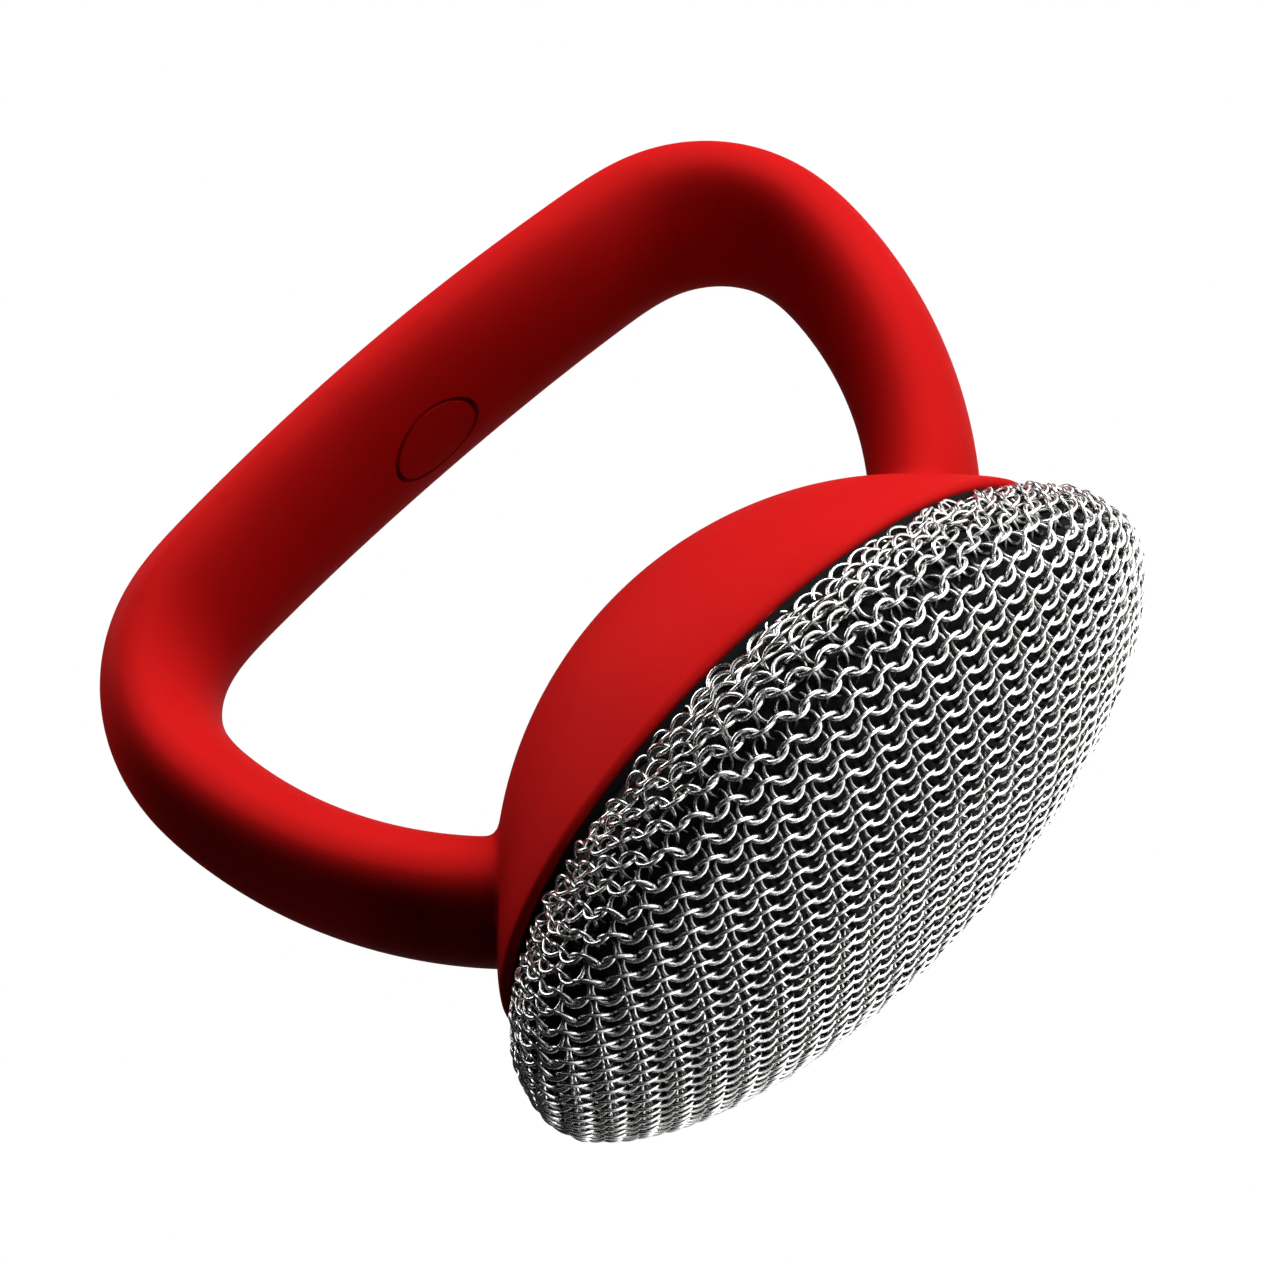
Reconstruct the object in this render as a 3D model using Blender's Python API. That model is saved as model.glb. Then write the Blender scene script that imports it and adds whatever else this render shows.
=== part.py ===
"""Chainmail pot brush: a round cup and a D-shaped loop handle moulded in one piece, and a scrub head
of steel links stretched over a rubber dome. Metres, +Z up. The brush stands on the flat under its
links with the handle up, and the origin is the middle of that flat. X runs across the loop."""
import math

import bmesh
import bpy
import numpy as np
from mathutils import Vector

MM = 0.001

# Head: the links bulge out below the cup's rim and close in a shallow dome
HEAD_RADIUS = 50.0 * MM
HEAD_OVERHANG = 6.5 * MM
BULGE_DROP = 10.9 * MM
DOME_DEPTH = 15.0 * MM
DOME_POWER_SHARE = 1.73
REST_CUT = 0.7 * MM

# Cup: the top of a taller dome, cut off at the rim
CUP_RISE = 28.0 * MM
CUP_SINK = 10.9 * MM
CUP_POWER_SHARE = 1.94
CUP_WALL = 2.4 * MM
CUP_ROOF = 2.8 * MM
LIP_WIDTH = 2.5 * MM
SEAT_RISE = 3.0 * MM
SEAT_REACH = 7.4 * MM
SEAT_THICKNESS = 2.4 * MM
SEAT_TAPER = 0.2 * MM
RIB_THICKNESS = 1.8 * MM
RIB_RISE = 15.0 * MM

# Loop: curvature runs from the grip through the corners into the legs
GRIP_RISE = 71.7 * MM
GRIP_CURVE = 345.0 * MM
GRIP_INSET = 12.8 * MM
CORNER_CURVE = 17.8 * MM
CORNER_RUN = 27.1 * MM
LEG_CURVE = 60.7 * MM
FOOT_RISE = 8.7 * MM
GRIP_THICKNESS = 12.7 * MM
CORNER_THICKNESS = 14.0 * MM
LEG_THICKNESS = 14.1 * MM
GRIP_WIDTH = 33.2 * MM
CORNER_WIDTH = 29.0 * MM
LEG_WIDTH = 29.4 * MM
SECTION_POWER_SHARE = 1.9
EASE_SHARE = 0.5

# Plug in the inner face of the grip
PLUG_RADIUS = 6.7 * MM
PLUG_DEPTH = 3.0 * MM

# Links: rows of rings that lean to and fro, each row joined side by side
LINK_RADIUS = 6.2 * MM
LINK_WIRE = 1.0 * MM
LINK_LEAN = math.radians(16)
LINK_SIDE = math.radians(12)
ROW_STEP = 4.0 * MM
ROW_SHIFT_SHARE = 0.5
LAY_ANGLE = math.radians(8)
FACE_INSET = 8.5 * MM
HEM_COUNT = 22
HEM_TUCK_INSET = 1.4 * MM
HEM_TUCK_DROP = 0.2 * MM
HEM_UPPER_SLOPE = math.radians(34)
HEM_LOWER_SLOPE = math.radians(69)
HEM_STEP = 3.8 * MM
HEM_STEP_SLOPE = math.radians(52)

# Backing plate and rubber pad
GAP = 0.3 * MM
PLATE_THICKNESS = 2.6 * MM
PLATE_DROP = 1.9 * MM
PLATE_CLEARANCE = 4.7 * MM
PLATE_RIM = 3.2 * MM
HOOK_COUNT = 4
HOOK_WIDTH = 7.0 * MM
HOOK_THICKNESS = 2.8 * MM
BARB_REACH = 1.5 * MM
BARB_HEIGHT = 2.4 * MM
PAD_KEY_RADIUS = 7.0 * MM
PAD_KEY_HEIGHT = 2.0 * MM
PAD_INSET = 5.8 * MM
PAD_TAPER = 2.6 * MM
PAD_SHOULDER_DROP = 4.9 * MM

# Meshing
OVERRUN = 2.0 * MM
MERGE = 0.01 * MM
CUP_SIDES = 48
CUP_RINGS = 9
CAVITY_SIDES = 40
PAD_SIDES = 40
PLUG_SIDES = 32
LOOP_STEPS = 48
LOOP_SIDES = 16
CURVE_SAMPLES = 601

RIM_HEIGHT = BULGE_DROP + DOME_DEPTH - REST_CUT
RIM_RADIUS = HEAD_RADIUS - HEAD_OVERHANG
LIP_RADIUS = RIM_RADIUS - LIP_WIDTH
SEAT_RADIUS = LIP_RADIUS - SEAT_REACH
PLATE_RADIUS = LIP_RADIUS - PLATE_CLEARANCE
PAD_RADIUS = HEAD_RADIUS - PAD_INSET
PAD_SHOULDER = PAD_RADIUS - PAD_TAPER
FACE_RADIUS = HEAD_RADIUS - FACE_INSET
HEM_TUCK_RADIUS = LIP_RADIUS - HEM_TUCK_INSET
GRIP_RUN = HEAD_RADIUS - GRIP_INSET
MAIL_THICKNESS = 2 * LINK_RADIUS * math.sin(LINK_LEAN) + LINK_WIRE
LINK_PITCH = 2 * LINK_RADIUS * math.cos(LINK_SIDE)


def clear_scene():
    for item in list(bpy.data.objects):
        bpy.data.objects.remove(item)


def material(name, colour, roughness, metallic=0.0):
    made = bpy.data.materials.new(name)
    made.use_nodes = True
    shader = made.node_tree.nodes["Principled BSDF"]
    shader.inputs["Base Color"].default_value = (*colour, 1.0)
    shader.inputs["Roughness"].default_value = roughness
    shader.inputs["Metallic"].default_value = metallic
    return made


def place(name, mesh_data, finish, smooth=True):
    """Link a bmesh as a named object with its faces pointing out"""
    bmesh.ops.recalc_face_normals(mesh_data, faces=mesh_data.faces)
    mesh = bpy.data.meshes.new(name)
    mesh_data.to_mesh(mesh)
    mesh_data.free()
    if smooth:
        mesh.shade_smooth()
        mesh.set_sharp_from_angle(angle=math.radians(35))
    made = bpy.data.objects.new(name, mesh)
    bpy.context.collection.objects.link(made)
    if finish:
        made.data.materials.append(finish)
    return made


def turned(name, outline, sides, finish=None):
    """Spin an outline of (radius, height) points, both ends on the axis, round Z"""
    work = bmesh.new()
    points = [work.verts.new((radius, 0, height)) for radius, height in outline]
    edges = [work.edges.new(pair) for pair in zip(points, points[1:])]
    bmesh.ops.spin(work, geom=points + edges, axis=(0, 0, 1), cent=(0, 0, 0), steps=sides,
                   angle=math.tau)
    bmesh.ops.remove_doubles(work, verts=work.verts, dist=MERGE)
    return place(name, work, finish)


def block(name, low, high, finish=None):
    """A box between two corners"""
    work = bmesh.new()
    bmesh.ops.create_cube(work, size=1)
    size = Vector(high) - Vector(low)
    bmesh.ops.scale(work, vec=size, verts=work.verts)
    bmesh.ops.translate(work, vec=(Vector(high) + Vector(low)) / 2, verts=work.verts)
    return place(name, work, finish, smooth=False)


def combine(target, tool, operation):
    """Apply a Boolean and drop the tool"""
    step = target.modifiers.new(operation.title(), "BOOLEAN")
    step.operation = operation
    step.object = tool
    step.solver = "EXACT"
    bpy.context.view_layer.update()
    seen = target.evaluated_get(bpy.context.evaluated_depsgraph_get())
    mesh = bpy.data.meshes.new_from_object(seen)
    target.modifiers.clear()
    target.data = mesh
    bpy.data.objects.remove(tool)
    return target


def superellipse(angle, half_a, half_b, power):
    cos_part, sin_part = math.cos(angle), math.sin(angle)
    a = math.copysign(abs(cos_part) ** (2 / power), cos_part)
    b = math.copysign(abs(sin_part) ** (2 / power), sin_part)
    return half_a * a, half_b * b


def ease(share):
    share = np.clip(share, 0, 1)
    return share * share * (3 - 2 * share)


def cup_radius(rise, full_radius, top):
    """Radius of a cup dome at a height over the rim, which may be under it"""
    share = (rise + CUP_SINK) / (top + CUP_SINK)
    return full_radius * max(1 - share ** CUP_POWER_SHARE, 0) ** (1 / CUP_POWER_SHARE)


def cup_full_radius():
    share = CUP_SINK / (CUP_RISE + CUP_SINK)
    return RIM_RADIUS / (1 - share ** CUP_POWER_SHARE) ** (1 / CUP_POWER_SHARE)


def loop_line():
    """Half of the loop's centreline, from the middle of the grip to the foot, with its sizes"""
    s = np.linspace(0, GRIP_RUN + CORNER_RUN + math.pi / 2 * LEG_CURVE, CURVE_SAMPLES)
    blend = EASE_SHARE * CORNER_RUN
    corner_end = GRIP_RUN + CORNER_RUN
    into = ease((s - GRIP_RUN + blend / 2) / blend)
    out = ease((s - corner_end + blend / 2) / blend)
    bend = (1 - into) / GRIP_CURVE + (into - out) / CORNER_CURVE + out / LEG_CURVE
    step = s[1] - s[0]
    heading = -np.concatenate([[0], np.cumsum((bend[1:] + bend[:-1]) / 2 * step)])
    cos_h, sin_h = np.cos(heading), np.sin(heading)
    x = np.concatenate([[0], np.cumsum((cos_h[1:] + cos_h[:-1]) / 2 * step)])
    z = GRIP_RISE + np.concatenate([[0], np.cumsum((sin_h[1:] + sin_h[:-1]) / 2 * step)])
    foot = int(np.argmax((z < FOOT_RISE) & (s > corner_end))) or len(s) - 1
    s, x, z, heading = s[:foot + 1], x[:foot + 1], z[:foot + 1], heading[:foot + 1]
    to_corner = ease(s / corner_end)
    to_leg = ease((s - corner_end) / (s[-1] - corner_end))
    thick = GRIP_THICKNESS + (CORNER_THICKNESS - GRIP_THICKNESS) * to_corner
    thick = thick + (LEG_THICKNESS - CORNER_THICKNESS) * to_leg
    wide = GRIP_WIDTH + (CORNER_WIDTH - GRIP_WIDTH) * to_corner
    wide = wide + (LEG_WIDTH - CORNER_WIDTH) * to_leg
    return s, x, z, heading, thick, wide


def loop_solid():
    """Loft the loop through oval sections from one foot to the other"""
    s, x, z, heading, thick, wide = loop_line()
    work = bmesh.new()
    rings = []
    for step in range(LOOP_STEPS + 1):
        where = (2 * step / LOOP_STEPS - 1) * s[-1]
        side = math.copysign(1, where)
        at = [float(np.interp(abs(where), s, line)) for line in (x, z, heading, thick, wide)]
        centre = Vector((side * at[0], 0, RIM_HEIGHT + at[1]))
        normal = Vector((-side * math.sin(at[2]), 0, math.cos(at[2])))
        ring = []
        for corner in range(LOOP_SIDES):
            out, across = superellipse(math.tau * corner / LOOP_SIDES, at[3] / 2, at[4] / 2,
                                       SECTION_POWER_SHARE)
            ring.append(work.verts.new(centre + normal * out + Vector((0, across, 0))))
        rings.append(ring)
    for low, high in zip(rings, rings[1:]):
        for corner in range(LOOP_SIDES):
            after = (corner + 1) % LOOP_SIDES
            work.faces.new((low[corner], low[after], high[after], high[corner]))
    work.faces.new(rings[0])
    work.faces.new(rings[-1])
    return place("loop", work, None)


def cup_solid(finish):
    """The cup's outer form: a dome cut off at the rim"""
    full = cup_full_radius()
    outline = [(0, RIM_HEIGHT), (RIM_RADIUS, RIM_HEIGHT)]
    for ring in range(1, CUP_RINGS + 1):
        share = math.sin(math.pi / 2 * ring / CUP_RINGS)
        rise = CUP_RISE * share
        outline.append((cup_radius(rise, full, CUP_RISE), RIM_HEIGHT + rise))
    return turned("handle_body", outline, CUP_SIDES, finish)


def cavity_solid():
    """The hollow of the cup: lip, seat for the plate and inner dome, with two ribs left across it"""
    full = cup_full_radius() - CUP_WALL
    top = CUP_RISE - CUP_ROOF
    seat_top = SEAT_RISE + SEAT_THICKNESS
    start = seat_top + SEAT_TAPER
    outline = [(0, -OVERRUN), (LIP_RADIUS, -OVERRUN), (LIP_RADIUS, 0)]
    outline.append((cup_radius(SEAT_RISE, full, top), SEAT_RISE))
    outline.append((SEAT_RADIUS, SEAT_RISE))
    outline.append((SEAT_RADIUS, seat_top))
    rings = CUP_RINGS // 2 + 1
    for ring in range(rings + 1):
        share = math.sin(math.pi / 2 * ring / rings)
        rise = start + (top - start) * share
        outline.append((cup_radius(rise, full, top), rise))
    raised = [(radius, RIM_HEIGHT + rise) for radius, rise in outline]
    hollow = turned("hollow", raised, CAVITY_SIDES)
    reach = RIM_RADIUS + OVERRUN
    for name, x, y in (("rib_x", reach, RIB_THICKNESS / 2), ("rib_y", RIB_THICKNESS / 2, reach)):
        low = (-x, -y, RIM_HEIGHT + RIB_RISE)
        high = (x, y, RIM_HEIGHT + CUP_RISE + OVERRUN)
        combine(hollow, block(name, low, high), "DIFFERENCE")
    return hollow


def plug_cylinder(radius):
    """A cylinder that reaches up into the grip from its inner face"""
    face = RIM_HEIGHT + GRIP_RISE - GRIP_THICKNESS / 2
    outline = [(0, face - OVERRUN), (radius, face - OVERRUN)]
    outline += [(radius, face + PLUG_DEPTH), (0, face + PLUG_DEPTH)]
    return outline


def handle(finish):
    """One moulding: cup and loop joined, hollowed from below, with the plug's pocket"""
    body = combine(cup_solid(finish), loop_solid(), "UNION")
    combine(body, cavity_solid(), "DIFFERENCE")
    pocket = turned("pocket", plug_cylinder(PLUG_RADIUS + GAP), PLUG_SIDES)
    combine(body, pocket, "DIFFERENCE")
    return body


def plug(finish):
    """A round plug whose face follows the grip"""
    outline = plug_cylinder(PLUG_RADIUS)
    outline[2] = (PLUG_RADIUS, outline[2][1] - GAP)
    outline[3] = (0, outline[3][1] - GAP)
    body = turned("grip_plug", outline, PLUG_SIDES, finish)
    return combine(body, loop_solid(), "INTERSECT")


def backing_plate(finish):
    """A disc with a raised rim under the cup's seat and four snap hooks over the seat"""
    low = RIM_HEIGHT - PLATE_DROP
    top = low + PLATE_THICKNESS
    seat = RIM_HEIGHT + SEAT_RISE - GAP
    rim = PLATE_RADIUS - PLATE_RIM
    hole = PAD_KEY_RADIUS + GAP
    outline = [(hole, low), (PLATE_RADIUS, low), (PLATE_RADIUS, seat), (rim, seat), (rim, top),
               (hole, top), (hole, low)]
    plate = turned("backing_plate", outline, CAVITY_SIDES, finish)
    mouth = SEAT_RADIUS * math.cos(math.pi / CAVITY_SIDES) - GAP
    outer = math.sqrt(mouth ** 2 - (HOOK_WIDTH / 2) ** 2)
    inner = outer - HOOK_THICKNESS
    barb_low = RIM_HEIGHT + SEAT_RISE + SEAT_THICKNESS + GAP
    barb_top = barb_low + BARB_HEIGHT
    profile = [(inner, top - PLATE_THICKNESS / 2), (outer, top - PLATE_THICKNESS / 2),
               (outer, barb_low), (outer + BARB_REACH, barb_low), (outer, barb_top),
               (inner, barb_top)]
    for hook in range(HOOK_COUNT):
        turn = math.tau * (hook + 0.5) / HOOK_COUNT
        combine(plate, extruded("hook", profile, HOOK_WIDTH, turn), "UNION")
    return plate


def extruded(name, outline, width, turn):
    """Extrude a (radius, height) outline across its own plane, then turn it round Z"""
    work = bmesh.new()
    near = [work.verts.new((radius, -width / 2, height)) for radius, height in outline]
    face = work.faces.new(near)
    made = bmesh.ops.extrude_face_region(work, geom=[face])
    moved = [item for item in made["geom"] if isinstance(item, bmesh.types.BMVert)]
    bmesh.ops.translate(work, vec=(0, width, 0), verts=moved)
    cos_t, sin_t = math.cos(turn), math.sin(turn)
    for vertex in work.verts:
        x, y, z = vertex.co
        vertex.co = (x * cos_t - y * sin_t, x * sin_t + y * cos_t, z)
    return place(name, work, None, smooth=False)


def dome_depth(radius, full_radius, depth):
    """How far a dome hangs under its widest ring at a radius"""
    share = min(radius / full_radius, 1)
    return depth * (1 - share ** DOME_POWER_SHARE) ** (1 / DOME_POWER_SHARE)


def scrub_pad(finish):
    """The rubber dome: a key in the plate's hole, a shoulder, and the dome under the links"""
    top = RIM_HEIGHT - PLATE_DROP - GAP
    widest = RIM_HEIGHT - BULGE_DROP
    depth = DOME_DEPTH - MAIL_THICKNESS - GAP
    outline = [(0, top + PAD_KEY_HEIGHT), (PAD_KEY_RADIUS, top + PAD_KEY_HEIGHT),
               (PAD_KEY_RADIUS, top), (PLATE_RADIUS, top),
               (PAD_SHOULDER, RIM_HEIGHT - PAD_SHOULDER_DROP)]
    rings = CUP_RINGS
    for ring in range(rings + 1):
        radius = PAD_RADIUS * math.cos(math.pi / 2 * ring / rings)
        outline.append((radius, widest - dome_depth(radius, PAD_RADIUS, depth)))
    return turned("scrub_pad", outline, PAD_SIDES, finish)


def link_row(name, places, pitch, lean, closed, finish):
    """One row of rings as one body. Neighbours share the flat where their sides meet.

    Each place is a ring's centre with the directions along the row, across it and out of the head.
    """
    sides = (-LINK_SIDE, LINK_SIDE, math.radians(60), math.radians(120), math.pi - LINK_SIDE,
             math.pi + LINK_SIDE, math.radians(240), math.radians(300))
    stretch = pitch / LINK_PITCH
    rings = []
    for centre, along, across, out in places:
        rise = across * math.cos(lean) + out * math.sin(lean)
        axle = np.cross(along, rise)
        corners = []
        for angle in sides:
            spoke = along * math.cos(angle) + rise * math.sin(angle)
            rim = along * (math.cos(angle) * stretch) + rise * math.sin(angle)
            point = centre + rim * LINK_RADIUS
            corners.append([point + axle * (LINK_WIRE / 2), point - axle * (LINK_WIRE / 2),
                            point - spoke * LINK_WIRE])
        rings.append(corners)
    work = bmesh.new()
    made = [[[None, None, None] for _ in sides] for _ in rings]
    count = len(rings)
    joins = [(i, (i + 1) % count) for i in range(count if closed else count - 1)]
    for left, right in joins:
        for here, there in ((0, 5), (1, 4)):
            for edge in (0, 1):
                middle = (rings[left][here][edge] + rings[right][there][edge]) / 2
                vertex = work.verts.new(middle)
                made[left][here][edge] = vertex
                made[right][there][edge] = vertex
    joined_right = {left for left, right in joins}
    joined_left = {right for left, right in joins}
    for i, corners in enumerate(rings):
        for j, points in enumerate(corners):
            for k, point in enumerate(points):
                if made[i][j][k] is None:
                    made[i][j][k] = work.verts.new(point)
        for j in range(len(sides)):
            near, far = made[i][j], made[i][(j + 1) % len(sides)]
            shared = (j == 0 and i in joined_right) or (j == 4 and i in joined_left)
            if not shared:
                work.faces.new((near[0], near[1], far[1], far[0]))
            work.faces.new((near[1], near[2], far[2], far[1]))
            work.faces.new((near[2], near[0], far[0], far[2]))
    return place(name, work, finish, smooth=False)


def face_places(row):
    """Rings of one row, which lies in an upright plane across the dome"""
    full = HEAD_RADIUS - MAIL_THICKNESS / 2
    depth = DOME_DEPTH - MAIL_THICKNESS / 2
    reach = np.linspace(0, FACE_RADIUS, CURVE_SAMPLES)
    drop = np.array([dome_depth(r, full, depth) for r in reach])
    length = np.concatenate([[0], np.cumsum(np.hypot(np.diff(reach), np.diff(drop)))])
    offset = (row - ROW_SHIFT_SHARE) * ROW_STEP
    if abs(offset) > length[-1]:
        return []
    x = math.copysign(float(np.interp(abs(offset), length, reach)), offset)
    half = math.sqrt(max(FACE_RADIUS ** 2 - x ** 2, 0))
    y = np.linspace(-half, half, CURVE_SAMPLES)
    z = np.array([-dome_depth(math.hypot(x, value), full, depth) for value in y])
    length = np.concatenate([[0], np.cumsum(np.hypot(np.diff(y), np.diff(z)))])
    length = length - length[-1] / 2
    shift = LINK_PITCH / 2 if row % 2 else 0
    first = math.ceil((length[0] - shift) / LINK_PITCH)
    last = math.floor((length[-1] - shift) / LINK_PITCH)
    places = []
    turn = np.array([[math.cos(LAY_ANGLE), -math.sin(LAY_ANGLE), 0],
                     [math.sin(LAY_ANGLE), math.cos(LAY_ANGLE), 0], [0, 0, 1]])
    for ring in range(first, last + 1):
        at = float(np.interp(ring * LINK_PITCH + shift, length, y))
        radius = max(math.hypot(x, at), GAP)
        fall = dome_slope(radius, full, depth)
        out = np.array([x / radius * fall, at / radius * fall, -1])
        out = out / np.linalg.norm(out)
        along = np.cross((1, 0, 0), out)
        along = along / np.linalg.norm(along)
        across = np.cross(out, along)
        centre = np.array([x, at, RIM_HEIGHT - BULGE_DROP - dome_depth(radius, full, depth)])
        places.append((turn @ centre, turn @ along, turn @ across, turn @ out))
    return places


def dome_slope(radius, full_radius, depth):
    """Rise over run of the dome at a radius"""
    share = radius / full_radius
    left = 1 - share ** DOME_POWER_SHARE
    power = DOME_POWER_SHARE
    return depth / full_radius * share ** (power - 1) * left ** (1 / power - 1)


def hem_places(radius, height, slope, shift):
    """Rings round the head on a cone"""
    places = []
    for ring in range(HEM_COUNT):
        turn = math.tau * (ring + shift) / HEM_COUNT
        outward = np.array([math.cos(turn), math.sin(turn), 0])
        up = np.array([0, 0, 1])
        along = np.array([-math.sin(turn), math.cos(turn), 0])
        across = outward * math.cos(slope) - up * math.sin(slope)
        out = outward * math.sin(slope) + up * math.cos(slope)
        places.append((outward * radius + up * height, along, across, out))
    return places


def hem(finish):
    """Two linked rows round the flank. The upper one is tucked inside the lip"""
    tuck = HEM_TUCK_RADIUS + LINK_RADIUS * math.cos(HEM_UPPER_SLOPE)
    height = RIM_HEIGHT - HEM_TUCK_DROP - LINK_RADIUS * math.sin(HEM_UPPER_SLOPE)
    lower = tuck + HEM_STEP * math.cos(HEM_STEP_SLOPE)
    lower_height = height - HEM_STEP * math.sin(HEM_STEP_SLOPE)
    upper_places = hem_places(tuck, height, HEM_UPPER_SLOPE, 0)
    lower_places = hem_places(lower, lower_height, HEM_LOWER_SLOPE, 0.5)
    pitch = 2 * tuck * math.tan(math.pi / HEM_COUNT)
    lower_pitch = 2 * lower * math.tan(math.pi / HEM_COUNT)
    link_row("hem_row_upper", upper_places, pitch, 0, True, finish)
    link_row("hem_row_lower", lower_places, lower_pitch, 0, True, finish)


def face_rows(finish):
    """Rows across the dome, cut flat where the brush stands on them"""
    count = 0
    last = math.ceil(HEAD_RADIUS / ROW_STEP)
    for row in range(1 - last, last + 1):
        places = face_places(row)
        if len(places) < 2:
            continue
        count += 1
        lean = LINK_LEAN if row % 2 == 0 else -LINK_LEAN
        made = link_row(f"link_row_{count:02d}", places, LINK_PITCH, lean, False, finish)
        lowest = min(vertex.co.z for vertex in made.data.vertices)
        if lowest < 0:
            reach = HEAD_RADIUS + OVERRUN
            floor = block("floor", (-reach, -reach, -reach), (reach, reach, 0))
            combine(made, floor, "DIFFERENCE")
    print("link rows", count)


def main():
    clear_scene()
    red = material("red_soft_touch", (0.72, 0.012, 0.012), 0.55)
    dark_red = material("red_plug", (0.66, 0.010, 0.010), 0.5)
    black = material("black_rubber", (0.012, 0.012, 0.013), 0.7)
    grey = material("black_nylon", (0.03, 0.03, 0.032), 0.5)
    steel = material("stainless_steel", (0.72, 0.71, 0.69), 0.25, 1.0)
    handle(red)
    plug(dark_red)
    backing_plate(grey)
    scrub_pad(black)
    hem(steel)
    face_rows(steel)
    total = 0
    for item in sorted(bpy.data.objects, key=lambda entry: entry.name):
        item.data.calc_loop_triangles()
        total += len(item.data.loop_triangles)
    print("objects", len(bpy.data.objects), "triangles", total)


main()
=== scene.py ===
# %% [markdown]
# # A chainmail pot brush
#
# This brush scours pans with a cushion of fine steel rings. It has one red moulding, made of a round cup and
# a loop that the hand goes through, and under it a black rubber dome that keeps the mail taut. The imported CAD
# model is the frame: it fixes the sizes. Here each part of it is dressed in the shape and finish that the eye
# sees.

import math

import bpy
import numpy as np
from mathutils import Matrix, Vector


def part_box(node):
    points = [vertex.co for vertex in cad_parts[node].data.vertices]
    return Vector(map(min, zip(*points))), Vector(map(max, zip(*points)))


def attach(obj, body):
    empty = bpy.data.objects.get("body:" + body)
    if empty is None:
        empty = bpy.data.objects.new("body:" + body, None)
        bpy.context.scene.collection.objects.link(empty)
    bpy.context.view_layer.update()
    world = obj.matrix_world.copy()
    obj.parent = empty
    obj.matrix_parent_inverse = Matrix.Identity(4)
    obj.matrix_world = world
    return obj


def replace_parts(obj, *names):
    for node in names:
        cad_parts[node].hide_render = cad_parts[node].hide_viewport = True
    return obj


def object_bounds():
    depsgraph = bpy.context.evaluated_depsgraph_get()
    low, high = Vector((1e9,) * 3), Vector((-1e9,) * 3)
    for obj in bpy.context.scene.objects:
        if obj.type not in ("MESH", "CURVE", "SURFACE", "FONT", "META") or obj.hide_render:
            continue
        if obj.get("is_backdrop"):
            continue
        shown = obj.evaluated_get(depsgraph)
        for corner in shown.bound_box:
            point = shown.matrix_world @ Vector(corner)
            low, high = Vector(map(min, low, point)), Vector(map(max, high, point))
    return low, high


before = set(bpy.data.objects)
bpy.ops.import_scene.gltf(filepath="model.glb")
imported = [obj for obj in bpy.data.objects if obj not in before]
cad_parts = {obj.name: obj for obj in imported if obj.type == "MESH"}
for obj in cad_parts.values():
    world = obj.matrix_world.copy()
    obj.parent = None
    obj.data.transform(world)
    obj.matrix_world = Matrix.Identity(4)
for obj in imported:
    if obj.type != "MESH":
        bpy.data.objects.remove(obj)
cad_box = [list(corner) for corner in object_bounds()]
MM = 0.001
print("frame nodes:", len(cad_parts), "box:", cad_box)

# %% [markdown]
# ## Where the rim is
#
# Every piece is placed from the cup's rim, the circle where the red moulding ends and the mail begins. The
# frame knows its height: it is the lowest edge of the moulding. A short table of the driving sizes follows,
# in the same words as the CAD source. The values agree with it too, apart from those of the rubber dome,
# which is a little deeper and fuller here.

# %% Driving sizes
RIM_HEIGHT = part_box("handle_body")[0].z
RIM_RADIUS = 43.5 * MM
HEAD_RADIUS = 50.0 * MM
BULGE_DROP = 10.9 * MM
DOME_DEPTH = 15.8 * MM
DOME_POWER = 1.8
CUP_RISE = 28.0 * MM
CUP_SINK = 10.9 * MM
CUP_POWER = 1.94
CUP_WALL = 2.4 * MM
CUP_ROOF = 2.8 * MM
LIP_RADIUS = 41.0 * MM
GRIP_RISE = 71.7 * MM
GRIP_CURVE = 345.0 * MM
GRIP_RUN = 37.2 * MM
CORNER_CURVE = 17.8 * MM
CORNER_RUN = 27.1 * MM
LEG_CURVE = 60.7 * MM
FOOT_RISE = 8.7 * MM
GRIP_SECTION = (12.7 * MM, 33.2 * MM)
CORNER_SECTION = (14.0 * MM, 29.0 * MM)
LEG_SECTION = (14.1 * MM, 29.4 * MM)
SECTION_POWER = 1.9
PLUG_RADIUS = 6.7 * MM
print("rim height, mm:", round(RIM_HEIGHT / MM, 2))

# %% [markdown]
# ## The camera
#
# The photograph looks up at the head from a little below its rim, with the camera rolled until the grip lies
# along the picture's diagonal. The angles, the distance and the lens come from fitting the outlines of the
# grip, the cup and the mail together. The head isn't in the middle of the picture, so the camera is slid
# sideways and up, and needs no lens shift.

# %% Place the camera
AZIMUTH = math.radians(-12.0)
ELEVATION = math.radians(-22.14)
ROLL = math.radians(-46.5)
DISTANCE = 347.4 * MM
SLIDE_RIGHT = -18.54 * MM
SLIDE_UP = 16.76 * MM
LENS = 81.37
SENSOR = 36.0
NEAREST_SEEN = 10 * MM

scene = bpy.context.scene
rim_centre = Vector((0, 0, RIM_HEIGHT))
towards = Vector((math.sin(AZIMUTH) * math.cos(ELEVATION), -math.cos(AZIMUTH) * math.cos(ELEVATION),
                  math.sin(ELEVATION)))
level_right = (-towards).cross(Vector((0, 0, 1))).normalized()
level_up = level_right.cross(-towards)
picture_right = level_right * math.cos(ROLL) + level_up * math.sin(ROLL)
picture_up = level_up * math.cos(ROLL) - level_right * math.sin(ROLL)
aim = rim_centre + picture_right * SLIDE_RIGHT + picture_up * SLIDE_UP
camera = bpy.data.objects.new("camera", bpy.data.cameras.new("camera"))
camera.data.lens = LENS
camera.data.sensor_width = SENSOR
camera.data.clip_start = NEAREST_SEEN
turn = Matrix((picture_right, picture_up, towards)).transposed()
camera.matrix_world = Matrix.Translation(aim + towards * DISTANCE) @ turn.to_4x4()
scene.collection.objects.link(camera)
scene.camera = camera
print("camera at", tuple(round(value, 3) for value in camera.location))

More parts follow.
